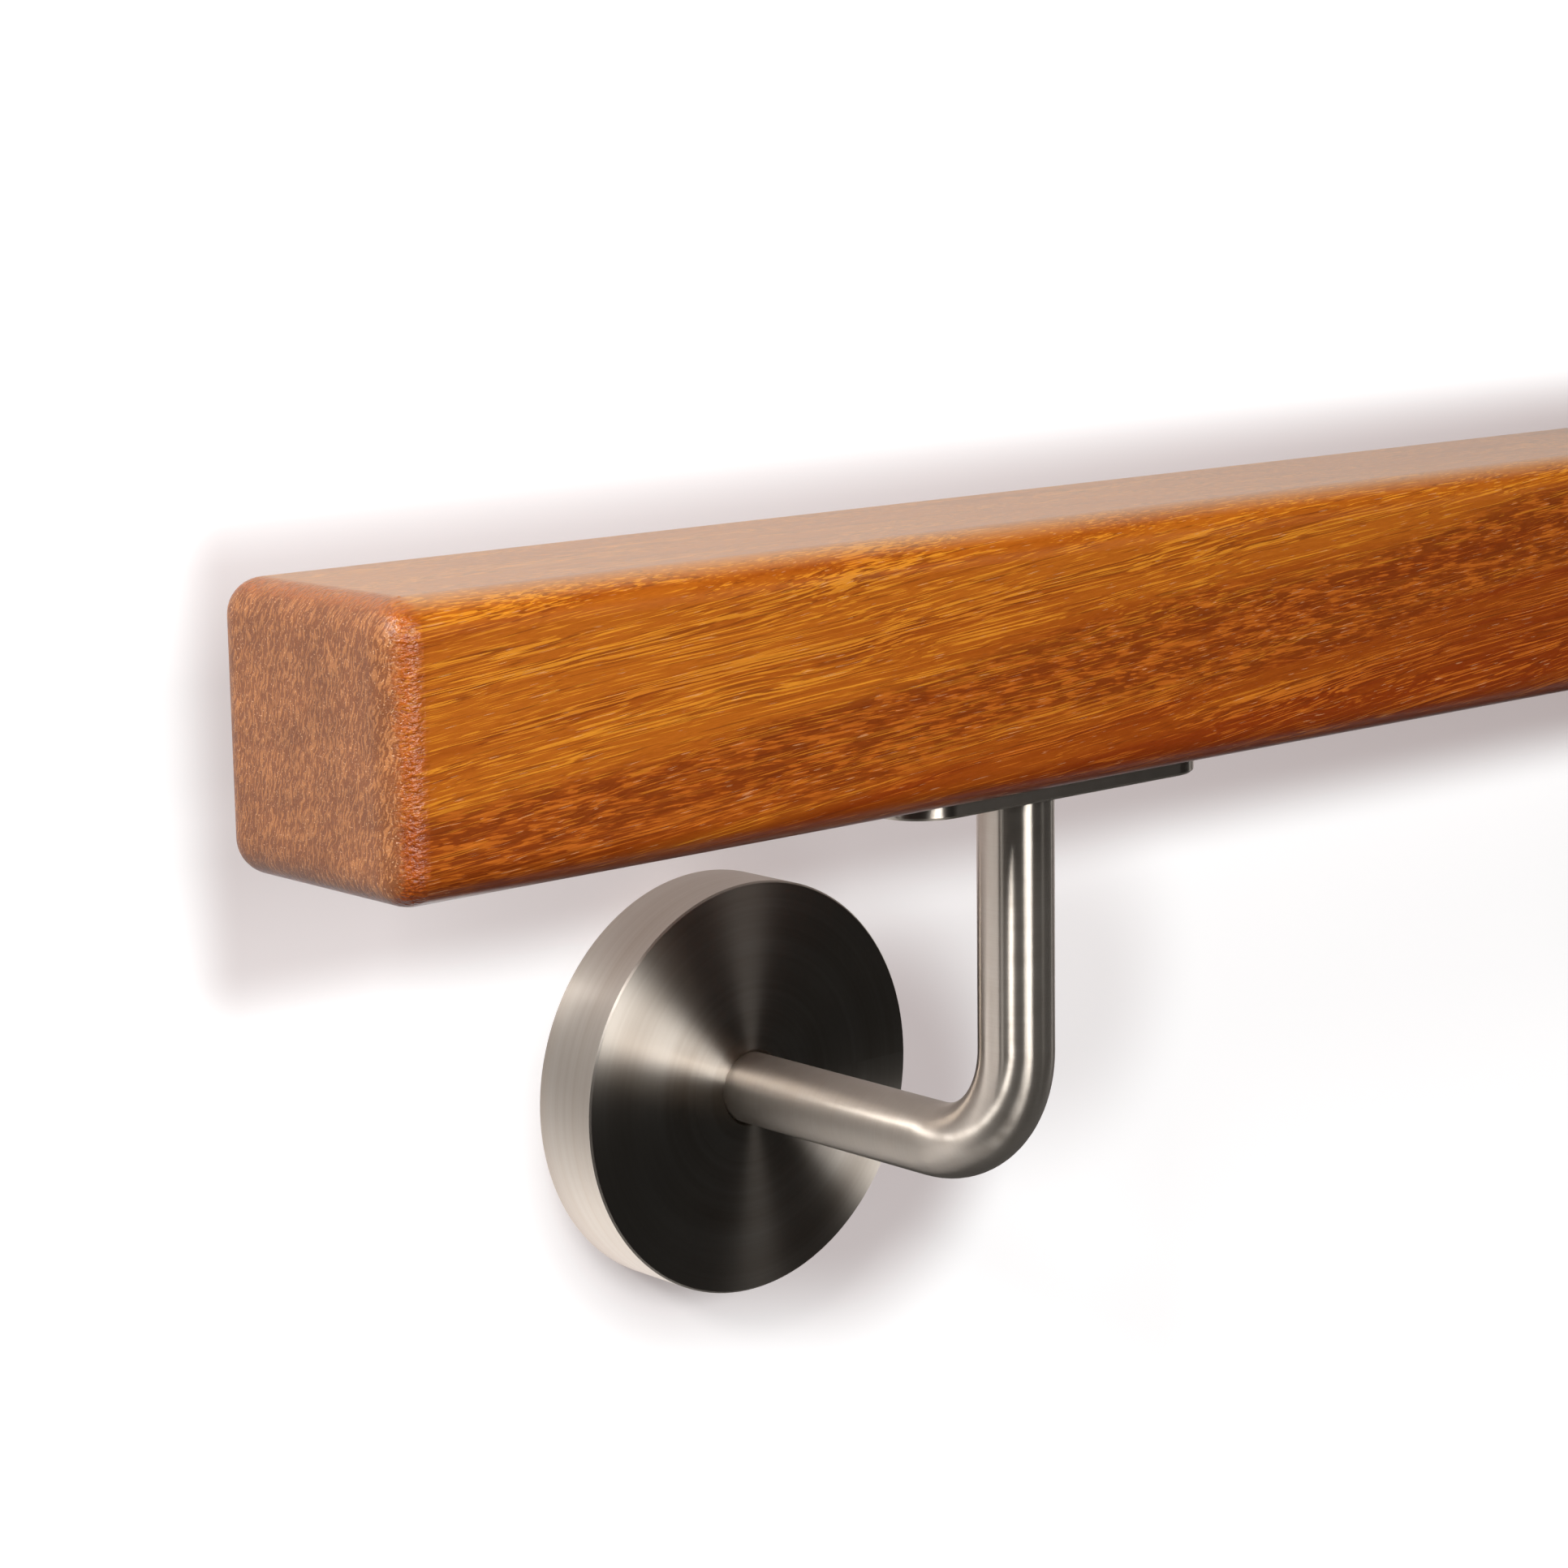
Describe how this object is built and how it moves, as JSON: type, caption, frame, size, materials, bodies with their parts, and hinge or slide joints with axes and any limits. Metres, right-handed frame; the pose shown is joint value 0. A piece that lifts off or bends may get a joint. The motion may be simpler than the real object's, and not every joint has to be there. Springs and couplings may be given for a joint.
{
  "type": "stair handrail length with wall brackets",
  "caption": "Straight square wooden stair handrail with rounded edges, carried on bent round steel wall brackets with turned round wall plates.",
  "frame": {"origin": "middle of the part's footprint on the wall plane that both rosettes stand on", "axes": "+X along the rail, +Y up the wall, +Z out of the wall; the part is stored lying as if the wall were the floor"},
  "size_m": [0.55, 0.137, 0.095],
  "materials": {
    "oiled_hardwood": "satin lacquered tropical hardwood",
    "turned_steel": "turned stainless steel, fine rings",
    "rod_steel": "satin brushed stainless rod",
    "plate_steel": "satin stainless plate",
    "screw_steel": "plain stainless"
  },
  "bodies": {
    "root": {"rail": "oiled_hardwood", "left_rosette": "turned_steel", "left_arm": "rod_steel", "left_saddle": "plate_steel", "left_screw_outer": "screw_steel", "left_screw_inner": "screw_steel", "right_rosette": "turned_steel", "right_arm": "rod_steel", "right_saddle": "plate_steel", "right_screw_outer": "screw_steel", "right_screw_inner": "screw_steel"}
  },
  "joints": []
}
